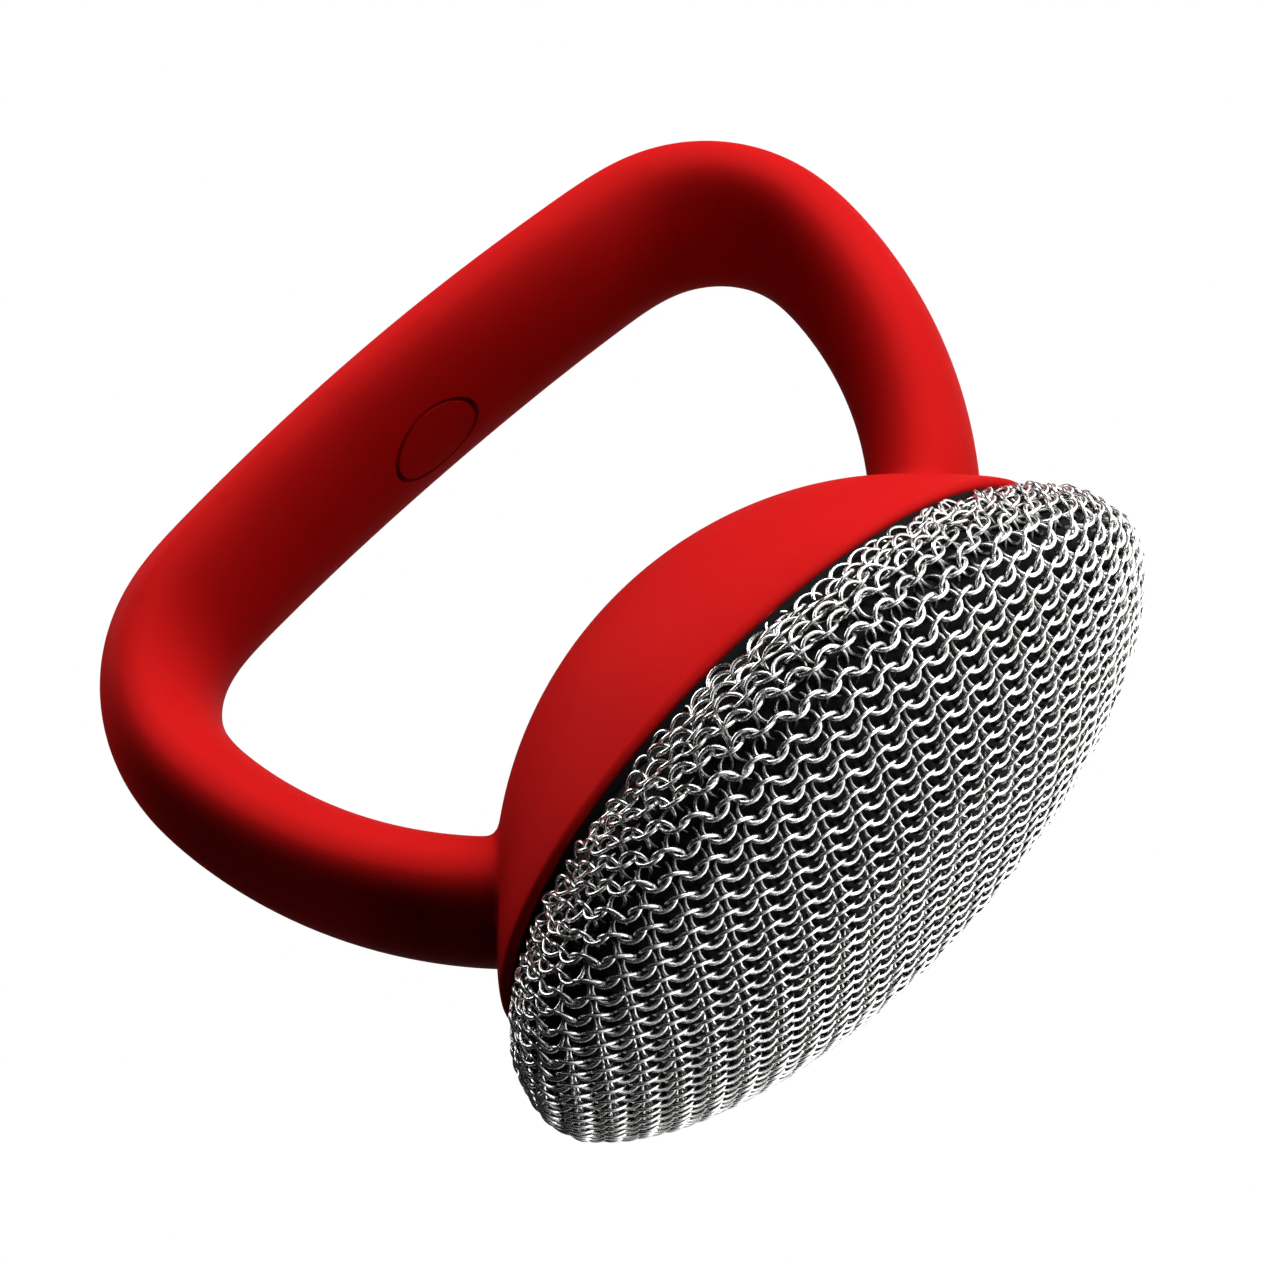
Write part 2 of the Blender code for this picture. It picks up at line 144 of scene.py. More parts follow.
# %% [markdown]
# ## Light and floor
#
# The brush was lit by soft boxes above it and behind its left side, on white, with little from below. So the
# outer side of the grip is bright and its inner side falls into the dark. Lamps alone could do all of it, but
# thin wire shows each lamp as a streak. So the surroundings also glow, for mirrored rays only: from the
# right, and from behind, which turns the far edge of the mail white. Matte surfaces see only a very dim grey.
#
# The photograph looks up from under the level that the brush stands on, where a real floor would hide
# everything. So the floor here shows only its upper side: from above it is a pale studio floor with the
# brush's soft shadow, and it fades into the white surroundings where the lamps no longer reach it.


# %% Helpers for light and shader nodes
def from_camera(heading):
    """A direction in space, from one that is given as right, up and towards the camera."""
    right, up, near = Vector(heading).normalized()
    return picture_right * right + picture_up * up + towards * near


def nodes_of(owner):
    """Start a clean node tree and return it."""
    owner.use_nodes = True
    owner.node_tree.nodes.clear()
    return owner.node_tree


def join(tree, output, socket):
    tree.links.new(output, socket)


def math_node(tree, operation, first, second):
    """A sum or other operation on two values, each a number or the output of a node."""
    made = tree.nodes.new("ShaderNodeMath")
    made.operation = operation
    for socket, value in zip(made.inputs, (first, second)):
        if isinstance(value, bpy.types.NodeSocket):
            join(tree, value, socket)
        else:
            socket.default_value = value
    return made.outputs["Value"]


def ramp(tree, source, start, end, low, high, curve="LINEAR"):
    """Turn a value that runs from start to end into one that runs from low to high."""
    made = tree.nodes.new("ShaderNodeMapRange")
    made.interpolation_type = curve
    made.inputs["From Min"].default_value = start
    made.inputs["From Max"].default_value = end
    made.inputs["To Min"].default_value = low
    made.inputs["To Max"].default_value = high
    join(tree, source, made.inputs["Value"])
    return made.outputs["Result"]


# %% Surroundings
AMBIENT = 0.016
GLOWS = (((0.9, 0.2, -0.5), 0.3, 0.9, 0.8),
         ((0.85, 0.1, 0.4), 0.2, 0.9, 0.8),
         ((0.75, -0.25, -0.75), 0.25, 0.85, 1.0))
world = bpy.data.worlds.new("studio")
scene.world = world
tree = nodes_of(world)
out = tree.nodes.new("ShaderNodeOutputWorld")
shown = tree.nodes.new("ShaderNodeBackground")
lit = tree.nodes.new("ShaderNodeBackground")
pick = tree.nodes.new("ShaderNodeMixShader")
ray = tree.nodes.new("ShaderNodeLightPath")
facing = tree.nodes.new("ShaderNodeTexCoord")
shown.inputs["Color"].default_value = (1, 1, 1, 1)
lit.inputs["Color"].default_value = (1, 1, 1, 1)

glow = 0.0
for heading, start, end, strength in GLOWS:
    likeness = tree.nodes.new("ShaderNodeVectorMath")
    likeness.operation = "DOT_PRODUCT"
    likeness.inputs[1].default_value = from_camera(heading)
    join(tree, facing.outputs["Generated"], likeness.inputs[0])
    rise = ramp(tree, likeness.outputs["Value"], start, end, 0, strength, "SMOOTHSTEP")
    glow = math_node(tree, "ADD", rise, glow)
mirrored = math_node(tree, "MULTIPLY", glow, ray.outputs["Is Glossy Ray"])
join(tree, math_node(tree, "ADD", mirrored, AMBIENT), lit.inputs["Strength"])
join(tree, ray.outputs["Is Camera Ray"], pick.inputs["Fac"])
join(tree, lit.outputs[0], pick.inputs[1])
join(tree, shown.outputs[0], pick.inputs[2])
join(tree, pick.outputs[0], out.inputs["Surface"])
scene.view_settings.view_transform = "Standard"
print("ambient light", AMBIENT, "and glows:", len(GLOWS))

# %% Lamps
LAMP_DISTANCE = 0.9
LAMP_SIZE = 0.5
LAMPS = (("key_lamp", (0.45, 0.78, 0.42), 5.3),
         ("top_lamp", (0.0, 0.91, 0.42), 5.9),
         ("right_lamp", (0.85, 0.45, -0.2), 0.8),
         ("edge_lamp", (-0.78, 0.45, -0.42), 4.2),
         ("face_lamp", (0.78, -0.45, 0.42), 2.8))
for name, heading, power in LAMPS:
    back = from_camera(heading)
    lamp = bpy.data.objects.new(name, bpy.data.lights.new(name, "AREA"))
    lamp.data.shape = "SQUARE"
    lamp.data.size = LAMP_SIZE
    lamp.data.energy = power
    place = Matrix.Translation(rim_centre + back * LAMP_DISTANCE)
    lamp.matrix_world = place @ back.to_track_quat("Z", "Y").to_matrix().to_4x4()
    scene.collection.objects.link(lamp)
print("lamps placed:", len(LAMPS))

# %% Floor
FLOOR_REACH = 3.0
floor_mesh = bpy.data.meshes.new("floor")
corners = [(x * FLOOR_REACH, y * FLOOR_REACH, 0) for x, y in ((-1, -1), (1, -1), (1, 1), (-1, 1))]
floor_mesh.from_pydata(corners, [], [(0, 1, 2, 3)])
floor = bpy.data.objects.new("floor", floor_mesh)
scene.collection.objects.link(floor)
floor.visible_diffuse = False
floor.visible_glossy = False
floor.visible_transmission = False
floor.visible_shadow = False
floor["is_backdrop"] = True
print("floor laid at height", floor.location.z)

# %% Floor's paint, clear from below and far out
FLOOR_GREY = 0.86
FADE_START = 0.3
FADE_END = 1.1
pale = bpy.data.materials.new("pale_floor")
tree = nodes_of(pale)
out = tree.nodes.new("ShaderNodeOutputMaterial")
paint = tree.nodes.new("ShaderNodeBsdfDiffuse")
paint.inputs["Color"].default_value = (FLOOR_GREY, FLOOR_GREY, FLOOR_GREY, 1)
clear = tree.nodes.new("ShaderNodeBsdfTransparent")
pick = tree.nodes.new("ShaderNodeMixShader")
side = tree.nodes.new("ShaderNodeNewGeometry")
away = tree.nodes.new("ShaderNodeVectorMath")
away.operation = "LENGTH"
join(tree, side.outputs["Position"], away.inputs[0])
fade = ramp(tree, away.outputs["Value"], FADE_START, FADE_END, 0, 1, "SMOOTHSTEP")
join(tree, math_node(tree, "MAXIMUM", side.outputs["Backfacing"], fade), pick.inputs["Fac"])
join(tree, paint.outputs[0], pick.inputs[1])
join(tree, clear.outputs[0], pick.inputs[2])
join(tree, pick.outputs[0], out.inputs["Surface"])
floor_mesh.materials.append(pale)
print("floor fades out from", FADE_START, "to", FADE_END, "m")

# %% [markdown]
# ## Finishes
#
# Each finish is one Principled material whose grain, colour and roughness come from noise at the scale of the
# real surface. The moulding has a matte soft-touch skin with a grain of a quarter of a millimetre. The rubber
# is duller and rougher. The rings are drawn stainless wire: bright, slightly warm, with small changes in tone
# from ring to ring, because each one was cut and closed by itself. The half of a ring that lies deep in the
# mail gets painted shade: its colour is darkened there, standing in for the hollows where it mirrors only the
# black rubber and its neighbours. This keeps the rows apart.

# %% Finish helpers
NOISE_LOW = 0.3
NOISE_HIGH = 0.7


def finish(name, colour, roughness, metallic=0.0):
    """A material with its Principled shader and object coordinates ready for noise."""
    made = bpy.data.materials.new(name)
    tree = nodes_of(made)
    out = tree.nodes.new("ShaderNodeOutputMaterial")
    shader = tree.nodes.new("ShaderNodeBsdfPrincipled")
    shader.inputs["Base Color"].default_value = (*colour, 1)
    shader.inputs["Roughness"].default_value = roughness
    shader.inputs["Metallic"].default_value = metallic
    where = tree.nodes.new("ShaderNodeTexCoord")
    join(tree, shader.outputs[0], out.inputs["Surface"])
    return made, tree, shader, where


def noise(tree, where, size, detail):
    """Noise whose blobs are about one size across, in metres."""
    made = tree.nodes.new("ShaderNodeTexNoise")
    made.inputs["Scale"].default_value = 1 / size
    made.inputs["Detail"].default_value = detail
    join(tree, where.outputs["Object"], made.inputs["Vector"])
    return made.outputs["Fac"]


def spread(tree, source, low, high):
    """Stretch noise, which stays round one half, to a range."""
    return ramp(tree, source, NOISE_LOW, NOISE_HIGH, low, high)


def two_tones(tree, factor, first, second):
    """Colour that drifts between two tones. The first may also be the output of a node."""
    mix = tree.nodes.new("ShaderNodeMix")
    mix.data_type = "RGBA"
    if isinstance(first, bpy.types.NodeSocket):
        join(tree, first, mix.inputs["A"])
    else:
        mix.inputs["A"].default_value = (*first, 1)
    mix.inputs["B"].default_value = (*second, 1)
    join(tree, factor, mix.inputs["Factor"])
    return mix.outputs["Result"]


def fine_grain(tree, shader, where, size, detail, rough, height):
    """Fine noise that varies the roughness between two values and raises the skin by a height."""
    fine = noise(tree, where, size, detail)
    join(tree, spread(tree, fine, *rough), shader.inputs["Roughness"])
    bump = tree.nodes.new("ShaderNodeBump")
    bump.inputs["Distance"].default_value = height
    bump.inputs["Strength"].default_value = 1.0
    join(tree, fine, bump.inputs["Height"])
    join(tree, bump.outputs["Normal"], shader.inputs["Normal"])
    return fine


# %% Soft-touch red
RED_SHINE = 0.005
DRIFT_SIZE = 14 * MM


def soft_touch(name, first, second):
    """Matte moulding whose colour drifts slowly between two tones and that hardly shines at its edges."""
    made, tree, shader, where = finish(name, first, roughness=0.6)
    shader.inputs["Specular IOR Level"].default_value = RED_SHINE
    drift = spread(tree, noise(tree, where, DRIFT_SIZE, detail=2.0), 0, 1)
    join(tree, two_tones(tree, drift, first, second), shader.inputs["Base Color"])
    fine_grain(tree, shader, where, size=0.25 * MM, detail=2.0, rough=(0.52, 0.66), height=0.02 * MM)
    return made


red = soft_touch("soft_touch_red", (0.57, 0.010, 0.010), (0.53, 0.009, 0.009))
plug_red = soft_touch("plug_red", (0.52, 0.009, 0.009), (0.48, 0.008, 0.008))
print("reds made")

# %% Rubber and nylon
RUBBER_SHINE = 0.08
rubber, tree, shader, where = finish("black_rubber", (0.005, 0.005, 0.006), roughness=0.7)
shader.inputs["Specular IOR Level"].default_value = RUBBER_SHINE
skin = fine_grain(tree, shader, where, size=0.6 * MM, detail=4.0, rough=(0.62, 0.8), height=0.06 * MM)
blacks = two_tones(tree, skin, (0.002, 0.002, 0.0025), (0.005, 0.005, 0.0055))
join(tree, blacks, shader.inputs["Base Color"])

nylon, tree, shader, where = finish("black_nylon", (0.03, 0.03, 0.032), roughness=0.45)
fine_grain(tree, shader, where, size=0.8 * MM, detail=3.0, rough=(0.4, 0.52), height=0.02 * MM)
print("rubber and nylon made")

# %% Steel
DULL_RING = (0.62, 0.615, 0.60)
BRIGHT_RING = (0.88, 0.875, 0.86)
# Painted shade: the deep half of each ring is darkened towards this colour, for the shade of the weave's
# hollows.
DEEP_PAINTED_SHADE = (0.05, 0.05, 0.05)
steel, tree, shader, where = finish("stainless_wire", (0.78, 0.77, 0.75), roughness=0.2, metallic=1.0)
tone = tree.nodes.new("ShaderNodeAttribute")
tone.attribute_name = "ring_tone"
depth = tree.nodes.new("ShaderNodeAttribute")
depth.attribute_name = "ring_depth"
clean = two_tones(tree, tone.outputs["Fac"], DULL_RING, BRIGHT_RING)
# Painted shade, mixed in by each point's depth in the mail.
painted_shade = two_tones(tree, depth.outputs["Fac"], clean, DEEP_PAINTED_SHADE)
join(tree, painted_shade, shader.inputs["Base Color"])
fine_grain(tree, shader, where, size=0.22 * MM, detail=2.0, rough=(0.18, 0.32), height=0.008 * MM)
print("steel made")

# %% [markdown]
# ## The moulding
#
# The handle is one casting of plastic: the legs flow out of the cup with a small round where they meet it. It
# could be bevelled along the seam, but a Boolean leaves a seam of slivers that no bevel likes. Instead the
# cup and the loop are joined, and the result is rebuilt as an even skin of small squares (a voxel remesh) and
# smoothed. The skin rounds every inside corner, as a mould does.

# %% Lines of the loop
LINE_POINTS = 1201


def ease(share):
    """A smooth step from 0 to 1 while a share goes from 0 to 1."""
    share = np.clip(share, 0, 1)
    return share * share * (3 - 2 * share)


def running_sum(values, step):
    return np.concatenate([[0], np.cumsum((values[1:] + values[:-1]) / 2 * step)])


def loop_line():
    """Half of the centreline, from the middle of the grip to the foot inside the cup, and its sections."""
    end = GRIP_RUN + CORNER_RUN
    s = np.linspace(0, end + math.pi / 2 * LEG_CURVE, LINE_POINTS)
    blend = CORNER_RUN / 2
    into = ease((s - GRIP_RUN + blend / 2) / blend)
    out_of = ease((s - end + blend / 2) / blend)
    bend = (1 - into) / GRIP_CURVE + (into - out_of) / CORNER_CURVE + out_of / LEG_CURVE
    heading = -running_sum(bend, s[1])
    x = running_sum(np.cos(heading), s[1])
    z = GRIP_RISE + running_sum(np.sin(heading), s[1])
    foot = int(np.argmax((z < FOOT_RISE) & (s > end)))
    s, x, z, heading = s[:foot], x[:foot], z[:foot], heading[:foot]
    sections = []
    for grip, corner, leg in zip(GRIP_SECTION, CORNER_SECTION, LEG_SECTION):
        size = grip + (corner - grip) * ease(s / end)
        sections.append(size + (leg - corner) * ease((s - end) / (s[-1] - end)))
    return s, x, z, heading, *sections


loop_s, *loop_lines = loop_line()
print("half the loop is", round(loop_s[-1] / MM, 1), "mm long and reaches x =",
      round(loop_lines[0].max() / MM, 1))


# %% Mesh helpers
def mesh_object(name, points, faces, material=None):
    mesh = bpy.data.meshes.new(name)
    mesh.from_pydata([tuple(point) for point in points], [], faces)
    mesh.shade_smooth()
    made = bpy.data.objects.new(name, mesh)
    scene.collection.objects.link(made)
    if material:
        mesh.materials.append(material)
    return made


def bands(rows, around):
    """Faces that join rings of points, one ring after the other, and close both ends."""
    faces = []
    for row in range(rows - 1):
        for i in range(around):
            j = (i + 1) % around
            low, high = row * around, (row + 1) * around
            faces.append((low + i, low + j, high + j, high + i))
    faces.append(tuple(reversed(range(around))))
    faces.append(tuple(range((rows - 1) * around, rows * around)))
    return faces


def apply_modifiers(target):
    bpy.context.view_layer.update()
    seen = target.evaluated_get(bpy.context.evaluated_depsgraph_get())
    mesh = bpy.data.meshes.new_from_object(seen)
    target.modifiers.clear()
    target.data = mesh
    return target


def combine(target, tool, operation):
    """Join, cut or keep the overlap with a tool, and drop the tool."""
    step = target.modifiers.new(operation.title(), "BOOLEAN")
    step.operation = operation
    step.object = tool
    step.solver = "EXACT"
    apply_modifiers(target)
    bpy.data.objects.remove(tool)
    return target


# %% Turned shapes, a little wider near the rim
RIM_STRETCH = 0.045
MAIL_STRETCH = 0.02
STRETCH_UP = 9.0 * MM


def widened(points, stretch):
    """Stretch points sideways near the rim, where the cup reaches out under its legs."""
    points = np.array(points, float)
    rise = points[..., 2] - RIM_HEIGHT
    near = ease(1 - np.abs(rise) / np.where(rise > 0, STRETCH_UP, BULGE_DROP))
    points[..., 0] *= 1 + stretch * near
    return points


def above_rim(outline):
    """Heights from the floor for an outline whose heights are measured from the rim."""
    return [(r, RIM_HEIGHT + h) for r, h in outline]


def turned(name, outline, sides, material=None, stretch=RIM_STRETCH):
    """Turn an outline of (radius, height) round the head's axis, from the bottom up, with closed ends."""
    angles = np.linspace(0, math.tau, sides, endpoint=False)
    points = [(r * math.cos(a), r * math.sin(a), h) for r, h in outline for a in angles]
    return mesh_object(name, widened(points, stretch), bands(len(outline), sides), material)


# %% The loop
LOOP_STEPS = 240
LOOP_SIDES = 64


def loop_solid(name):
    """The whole loop, drawn from foot to foot as one bar of changing oval section."""
    points = []
    angles = np.linspace(0, math.tau, LOOP_SIDES, endpoint=False)
    cos_a, sin_a = np.cos(angles), np.sin(angles)
    out_share = np.sign(cos_a) * np.abs(cos_a) ** (2 / SECTION_POWER)
    side_share = np.sign(sin_a) * np.abs(sin_a) ** (2 / SECTION_POWER)
    for where in np.linspace(-loop_s[-1], loop_s[-1], LOOP_STEPS + 1):
        x, z, heading, thick, wide = (float(np.interp(abs(where), loop_s, line)) for line in loop_lines)
        side = math.copysign(1, where)
        normal = (-side * math.sin(heading), math.cos(heading))
        for out_part, side_part in zip(out_share * thick / 2, side_share * wide / 2):
            points.append((side * x + normal[0] * out_part, side_part,
                           RIM_HEIGHT + z + normal[1] * out_part))
    return mesh_object(name, points, bands(LOOP_STEPS + 1, LOOP_SIDES))


# %% [markdown]
# ## The cup
#
# The cup is the top of a dome that is cut off at the rim. Its wall is thin, so the hollow is the same dome
# drawn a wall's thickness inside. The remesh blurs sharp edges. So the dome is drawn a little past the rim,
# and a cutter trims it after the remesh to a clean lip with a small round, where the mail is tucked in.

# %% Cup and hollow
SKIRT = 2.0 * MM
CUP_STEPS = 40
HOLLOW_STEPS = 30
HOLLOW_START = 3 * MM
POLE_RADIUS = 0.05 * MM


def cup_line(full, top, start, count):
    """Points (radius, rise) up a cup dome from a rise to its top."""
    rises = start + (top - start) * np.sin(np.linspace(0, math.pi / 2, count))
    share = (rises + CUP_SINK) / (top + CUP_SINK)
    radii = full * np.maximum(1 - share ** CUP_POWER, 0) ** (1 / CUP_POWER)
    return list(zip(radii, rises))[:-1] + [(POLE_RADIUS, top)]


rim_share = CUP_SINK / (CUP_RISE + CUP_SINK)
cup_full = RIM_RADIUS / (1 - rim_share ** CUP_POWER) ** (1 / CUP_POWER)
cup_points = cup_line(cup_full, CUP_RISE, -SKIRT, CUP_STEPS)
hollow_points = [(LIP_RADIUS, -2 * SKIRT), (LIP_RADIUS, 0)]
hollow_points += cup_line(cup_full - CUP_WALL, CUP_RISE - CUP_ROOF, HOLLOW_START, HOLLOW_STEPS)
print("cup is", round(2 * cup_full / MM, 1), "mm across at its full radius")

# %% Join, remesh and smooth the moulding
CUP_SIDES = 160
SKIN_SQUARE = 0.75 * MM
SMOOTHING = 0.5
SMOOTHING_ROUNDS = 8
handle = turned("handle", above_rim(cup_points), CUP_SIDES)
combine(handle, loop_solid("loop"), "UNION")
combine(handle, turned("hollow", above_rim(hollow_points), CUP_SIDES), "DIFFERENCE")
skin = handle.modifiers.new("Skin", "REMESH")
skin.mode = "VOXEL"
skin.voxel_size = SKIN_SQUARE
skin.use_smooth_shade = True
soften = handle.modifiers.new("Soften", "SMOOTH")
soften.factor = SMOOTHING
soften.iterations = SMOOTHING_ROUNDS
apply_modifiers(handle)
print("handle skin has", len(handle.data.polygons), "faces")

# %% Trim the lip
LIP_ROUND = 1.0 * MM
LIP_STEPS = 13
SKIN_LOSS = 0.05 * MM
wall_lean = math.atan2(cup_points[1][0] - cup_points[2][0], cup_points[2][1] - cup_points[1][1])
lip_middle = RIM_RADIUS - LIP_ROUND * math.tan(math.pi / 4 + wall_lean / 2) - SKIN_LOSS
lip_arc = [(lip_middle + LIP_ROUND * math.cos(a), LIP_ROUND * (1 + math.sin(a)))
           for a in np.linspace(wall_lean, -math.pi / 2, LIP_STEPS)]
lip_points = [(HEAD_RADIUS, -2 * SKIRT), (HEAD_RADIUS, lip_arc[0][1])] + lip_arc
combine(handle, turned("lip_cutter", above_rim(lip_points), CUP_SIDES), "DIFFERENCE")
print("the wall leans out", round(math.degrees(wall_lean), 1), "degrees at the rim")

# %% [markdown]
# ## The plug in the grip
#
# A round mark lies flush in the inner face of the grip, where the fingers close. It is a separate disc in a
# shallow pocket. Only the dark joint round it shows, so the pocket is cut wider than the plug, and the plug's
# face is cut from the same grip.

# %% Pocket and plug
PLUG_GAP = 0.7 * MM
PLUG_DEPTH = 2.6 * MM
PLUG_OVERRUN = 3 * MM
PLUG_SIDES = 96
SHARP_ANGLE = math.radians(50)
grip_face = RIM_HEIGHT + GRIP_RISE - GRIP_SECTION[0] / 2


def plug_shape(name, radius, top):
    """A round bar from below the grip's inner face to a height above it."""
    outline = [(radius, grip_face - PLUG_OVERRUN), (radius, grip_face + top)]
    return turned(name, outline, PLUG_SIDES)


combine(handle, plug_shape("pocket", PLUG_RADIUS + PLUG_GAP / 2, PLUG_DEPTH), "DIFFERENCE")
plug = plug_shape("finger_plug", PLUG_RADIUS - PLUG_GAP / 2, PLUG_DEPTH - PLUG_GAP)
combine(plug, loop_solid("grip"), "INTERSECT")
for piece, material, node in ((handle, red, "handle_body"), (plug, plug_red, "grip_plug")):
    piece.data.materials.clear()
    piece.data.materials.append(material)
    piece.data.shade_smooth()
    piece.data.set_sharp_from_angle(angle=SHARP_ANGLE)
    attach(piece, "root")
    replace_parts(piece, node)
print("plug is", round(2 * PLUG_RADIUS / MM, 1), "mm across")

# %% [markdown]
# ## The head's line
#
# The mail follows one line from the pole of the dome out to its widest ring and back in under the rim. The
# pole is pressed flat where the brush stands. The line is measured along its length, so that a flat sheet of
# rings can be laid on it with no stretch from the pole outwards. Round the head the sheet is gathered, as a
# cloth is over a ball.

# %% Profile of the head
REST_DEPTH = 14.3 * MM
PRESS_SOFTNESS = 0.5 * MM
RIM_TUCK = 0.5 * MM
DOME_STEPS = 121
FLANK_STEPS = 60


def head_line(inset):
    """Points (radius, height) from the pole to the rim, a distance inside the mail's outer face."""
    bend = np.linspace(0, math.pi / 2, DOME_STEPS)
    dome_r = HEAD_RADIUS * np.sin(bend) ** (2 / DOME_POWER)
    depth = DOME_DEPTH * np.cos(bend) ** (2 / DOME_POWER)
    pressed = PRESS_SOFTNESS * np.log1p(np.exp((depth - REST_DEPTH) / PRESS_SOFTNESS))
    dome_h = -BULGE_DROP - (depth - pressed)
    climb = np.linspace(0, 1, FLANK_STEPS)[1:]
    flank_r = HEAD_RADIUS - (HEAD_RADIUS - RIM_RADIUS + RIM_TUCK) * climb ** 2
    flank_h = -BULGE_DROP * (1 - climb)
    r = np.concatenate([dome_r, flank_r])
    h = np.concatenate([dome_h, flank_h])
    step_r, step_h = np.gradient(r), np.gradient(h)
    length = np.hypot(step_r, step_h)
    return np.stack([r - step_h / length * inset, h + step_r / length * inset], 1)


# %% The rubber dome
MAIL_DEPTH = 1.9 * MM
RIM_MAIL_DEPTH = 0.9 * MM
PAD_TUCK = 0.4 * MM
PAD_RISE = 1 * MM
PAD_SIDES = 144
deep_line = head_line(MAIL_DEPTH)
shallow_line = head_line(RIM_MAIL_DEPTH)
climbed = ease((deep_line[:, 1] + BULGE_DROP) / BULGE_DROP)[:, None]
pad_line = deep_line * (1 - climbed) + shallow_line * climbed
pad_line[:, 0] = np.maximum(pad_line[:, 0], POLE_RADIUS)
pad_points = [(r, h) for r, h in pad_line if h < -PAD_TUCK]
pad_points += [(RIM_RADIUS - LIP_ROUND / 3, -PAD_TUCK / 2),
               (LIP_RADIUS - PAD_TUCK, -PAD_TUCK / 2), (LIP_RADIUS - PAD_TUCK, PAD_RISE)]
pad = turned("scrub_dome", above_rim(pad_points), PAD_SIDES, rubber, MAIL_STRETCH)
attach(pad, "root")
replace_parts(pad, "scrub_pad")
print("rubber dome is", round(2 * max(r for r, h in pad_points) / MM, 1), "mm across")

# %% The backing plate keeps its CAD shape
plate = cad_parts["backing_plate"]
plate.data.materials.clear()
plate.data.materials.append(nylon)
print("plate has", len(plate.data.polygons), "faces")

# %% [markdown]
# ## The mail
#
# Scouring mail is woven four-in-one: every ring passes through four others, two in the row before it and two
# in the row after. All rings of a row lean the same way along the row, like fallen dominoes, and those of the
# next row lean back. Seen aslant, as in the photograph, one row shows its open rings and the next one only
# edges. The rings could be copied by an array, but the sheet is gathered over a dome. So each ring gets a
# place in the flat sheet, is carried to the dome, and leans from the surface there. Towards its tucked edge
# the mail isn't taut, so its rings turn and slip more there.
#
# The rings aren't pushed apart by any contact. So linked wires sink into each other by a few hundredths of a
# millimetre on the face, and near the tucked edge, where the sheet is gathered most, some wires cross.

# %% Weave
WIRE = 0.52 * MM
RING_RADIUS = 1.75 * MM
PITCH = 3.04 * MM
ROW_STEP = 2.28 * MM
LAY = math.radians(6.5)
LEAN = math.radians(37)
SHEET_REACH = 72 * MM
GATHER_START = 28 * MM
GATHER = 3.8
MAIL_INSET = 1.42 * MM

mail_line = head_line(MAIL_INSET)
gap = np.hypot(np.diff(mail_line[:, 0]), np.diff(mail_line[:, 1]))
mail_length = np.concatenate([[0], np.cumsum(gap)])


def gathered(reach):
    """How far from the pole a point of the flat sheet ends up: the mail is pushed together near the rim."""
    return reach - GATHER * np.maximum(reach - GATHER_START, 0) ** 2


def on_head(u, v):
    """Carry points of the flat sheet, u along the rows and v across them, to the head."""
    reach = gathered(np.hypot(u, v))
    turn = np.arctan2(v * math.sin(LAY) + u * math.cos(LAY), v * math.cos(LAY) - u * math.sin(LAY))
    r = np.interp(reach, mail_length, mail_line[:, 0])
    h = np.interp(reach, mail_length, mail_line[:, 1])
    return widened(np.stack([r * np.cos(turn), r * np.sin(turn), RIM_HEIGHT + h], -1), MAIL_STRETCH)


def unit(vectors):
    return vectors / np.linalg.norm(vectors, axis=-1, keepdims=True)


# %% Places of the rings
SEED = 7
EDGE_INSET = 1.8 * MM
EDGE_RAG = 0.9 * MM
random = np.random.default_rng(SEED)
rows = int(SHEET_REACH / ROW_STEP)
count = int(SHEET_REACH / PITCH)
u, v, parity = [], [], []
for row in range(-rows, rows + 1):
    for ring in range(-count, count + 1):
        u.append((ring + (row % 2) / 2) * PITCH)
        v.append(row * ROW_STEP)
        parity.append(row % 2)
u, v, parity = np.array(u), np.array(v), np.array(parity)
reach = gathered(np.hypot(u, v))
keep = reach < mail_length[-1] - EDGE_INSET + random.uniform(-EDGE_RAG, EDGE_RAG, len(u))
u, v, parity, reach = u[keep], v[keep], parity[keep], reach[keep]
print("rings:", len(u))

# %% How the rings lean
NUDGE = 0.2 * MM
LOOSE_START = 15 * MM
LOOSE_END = 6 * MM
TURN = math.radians(2)
SLIP = 0.03 * MM
LIFT = 0.02 * MM
LOOSE_TURN = math.radians(7)
LOOSE_SLIP = 0.12 * MM
LOOSE_LIFT = 0.06 * MM


def jitter(taut, slack):
    """A random amount for each ring, larger where the mail is loose."""
    return random.normal(0, 1, len(u)) * (taut + loose * slack)


centre = on_head(u, v)
along = unit(on_head(u + NUDGE, v) - on_head(u - NUDGE, v))
aside = on_head(u, v + NUDGE) - on_head(u, v - NUDGE)
out_of_head = unit(np.cross(aside, along))
out_of_head *= np.sign((out_of_head * (centre - np.array(rim_centre))).sum(-1))[:, None]
across = np.cross(out_of_head, along)
loose = ease((reach - mail_length[-1] + LOOSE_START) / (LOOSE_START - LOOSE_END))
lean = np.where(parity == 0, LEAN, -LEAN) + jitter(TURN, LOOSE_TURN)
roll = jitter(TURN, LOOSE_TURN)
centre = centre + along * jitter(SLIP, LOOSE_SLIP)[:, None]
centre = centre + across * jitter(SLIP, LOOSE_SLIP)[:, None]
centre = centre + out_of_head * jitter(LIFT, LOOSE_LIFT)[:, None]
axle = unit(out_of_head + along * np.tan(lean)[:, None] + across * np.tan(roll)[:, None])
print("mean lean, degrees:", round(math.degrees(abs(lean).mean()), 1))

# %% Points and faces of the rings
AROUND_RING = 20
AROUND_WIRE = 6


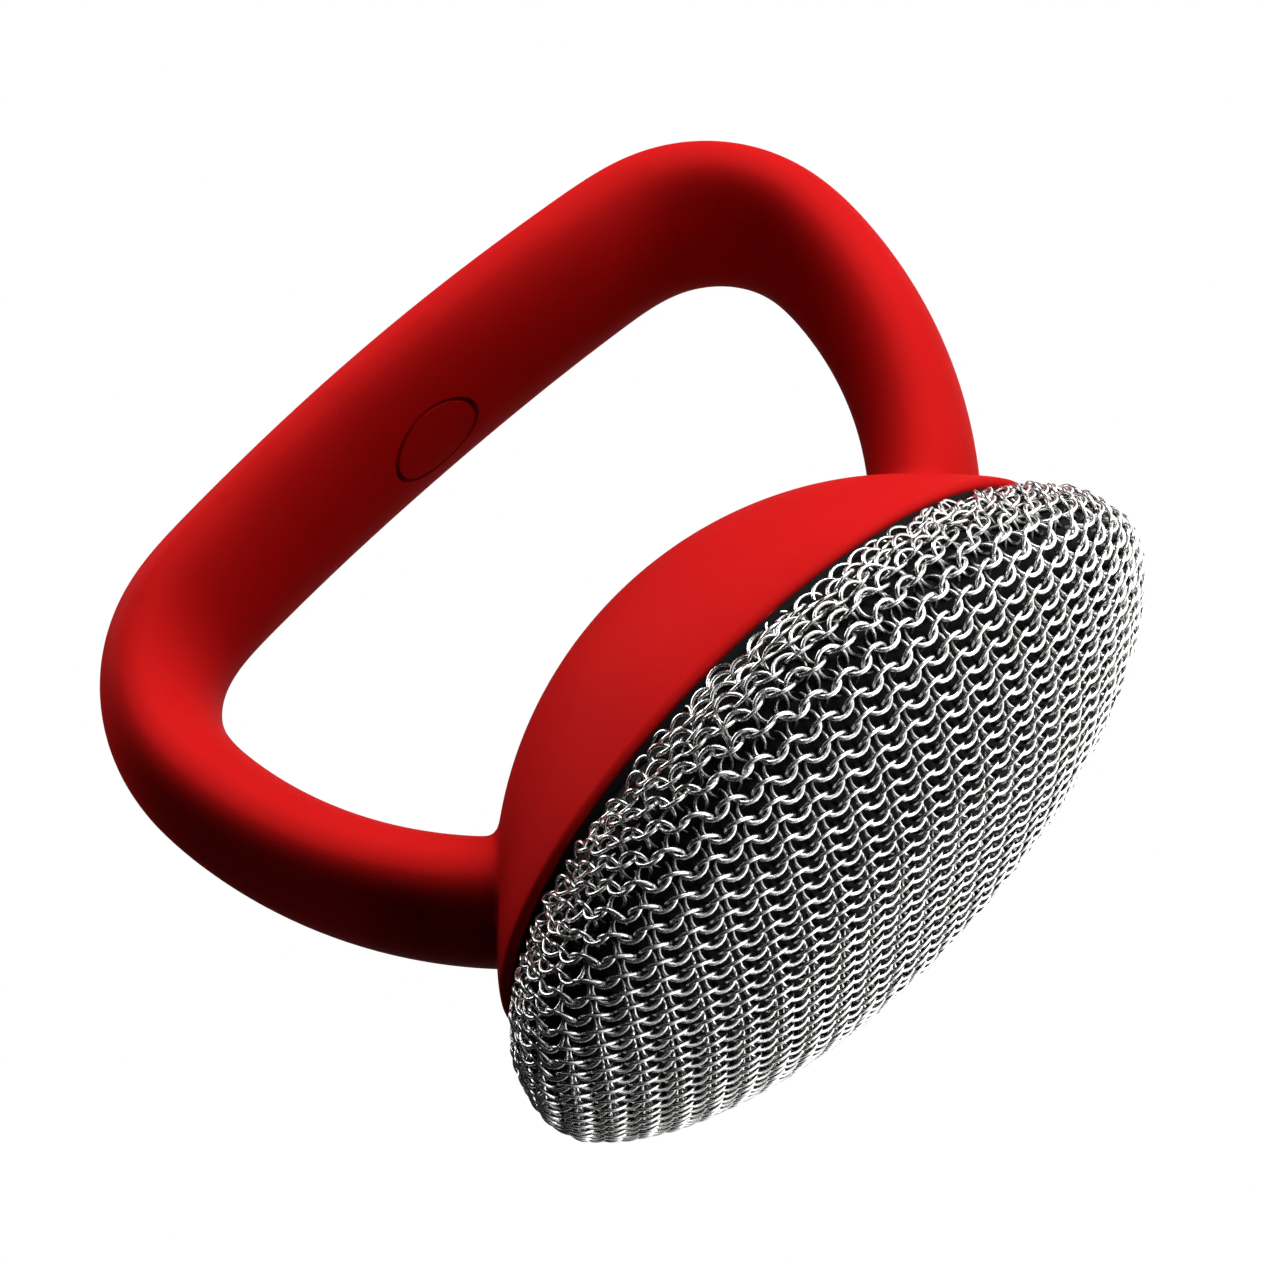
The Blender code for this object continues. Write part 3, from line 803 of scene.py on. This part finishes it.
def ring_points(chosen):
    """Points of the chosen rings, each a torus: by ring, round the ring and round the wire."""
    big = np.linspace(0, math.tau, AROUND_RING, endpoint=False)
    small = np.linspace(0, math.tau, AROUND_WIRE, endpoint=False)
    first = unit(np.cross(axle[chosen], along[chosen]))
    second = np.cross(axle[chosen], first)
    spoke = first[:, None] * np.cos(big)[None, :, None] + second[:, None] * np.sin(big)[None, :, None]
    radius = RING_RADIUS + WIRE / 2 * np.cos(small)
    return (centre[chosen][:, None, None] + spoke[:, :, None] * radius[None, None, :, None]
            + axle[chosen][:, None, None] * (WIRE / 2 * np.sin(small))[None, None, :, None])


def ring_faces(count):
    """Small squares that make the skin of each ring, as numbers of its points."""
    i, j = np.meshgrid(np.arange(AROUND_RING), np.arange(AROUND_WIRE), indexing="ij")
    next_i, next_j = (i + 1) % AROUND_RING, (j + 1) % AROUND_WIRE
    corners = ((i, j), (i, next_j), (next_i, next_j), (next_i, j))
    square = np.stack([a * AROUND_WIRE + b for a, b in corners], -1).reshape(-1, 4)
    return square[None] + (np.arange(count) * AROUND_RING * AROUND_WIRE)[:, None, None]


# %% Rings into meshes
DEPTH_SLOPE = 1.1
DEPTH_START = 0.54


def point_values(mesh, name, values):
    """Keep a value for each point, where the steel can read it."""
    layer = mesh.attributes.new(name, "FLOAT", "POINT")
    layer.data.foreach_set("value", values.reshape(-1).astype(np.float32))


def ring_mesh(name, chosen):
    """One mesh of many rings, with a tone for each ring and each point's depth in the mail."""
    points = ring_points(chosen)
    faces = ring_faces(len(points))
    mesh = bpy.data.meshes.new(name)
    mesh.vertices.add(points.size // 3)
    mesh.vertices.foreach_set("co", points.reshape(-1))
    mesh.loops.add(faces.size)
    mesh.loops.foreach_set("vertex_index", faces.reshape(-1))
    mesh.polygons.add(faces.size // 4)
    mesh.polygons.foreach_set("loop_start", np.arange(0, faces.size, 4))
    tones = random.uniform(0, 1, len(points))
    point_values(mesh, "ring_tone", np.repeat(tones, AROUND_RING * AROUND_WIRE))
    # Each point's depth drives the painted shade on the deep half of its ring.
    sunk = ((centre[chosen][:, None, None] - points) * out_of_head[chosen][:, None, None]).sum(-1)
    deepest = RING_RADIUS * math.sin(LEAN)
    point_values(mesh, "ring_depth", ease(sunk / deepest * DEPTH_SLOPE + DEPTH_START))
    mesh.update(calc_edges=True)
    mesh.validate()
    mesh.shade_smooth()
    mesh.materials.append(steel)
    made = bpy.data.objects.new(name, mesh)
    scene.collection.objects.link(made)
    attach(made, "root")
    return made


# %% Four patches of mail
FACE_REACH = 44 * MM
HEM_REACH = 53 * MM
face = reach < FACE_REACH
lower = ~face & (reach < HEM_REACH)
face_nodes = sorted(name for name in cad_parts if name.startswith("link_row"))
half_count = len(face_nodes) // 2
patches = (("mail_face_left", face & (v < 0), face_nodes[:half_count]),
           ("mail_face_right", face & (v >= 0), face_nodes[half_count:]),
           ("mail_hem_lower", lower, ["hem_row_lower"]),
           ("mail_hem_upper", ~face & ~lower, ["hem_row_upper"]))
for name, chosen, nodes in patches:
    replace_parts(ring_mesh(name, chosen), *nodes)
    print(name, "has", chosen.sum(), "rings")

# %% [markdown]
# ## Size and close
#
# The boxes of the dressed brush and of the CAD model are printed side by side, one axis a line.

# %% Write the two boxes and finish
visual_box = [list(corner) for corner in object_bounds()]
for axis, low, high, cad_low, cad_high in zip("xyz", *visual_box, *cad_box):
    print(axis, "visual", round(low / MM, 1), round(high / MM, 1), "cad", round(cad_low / MM, 1),
          round(cad_high / MM, 1))
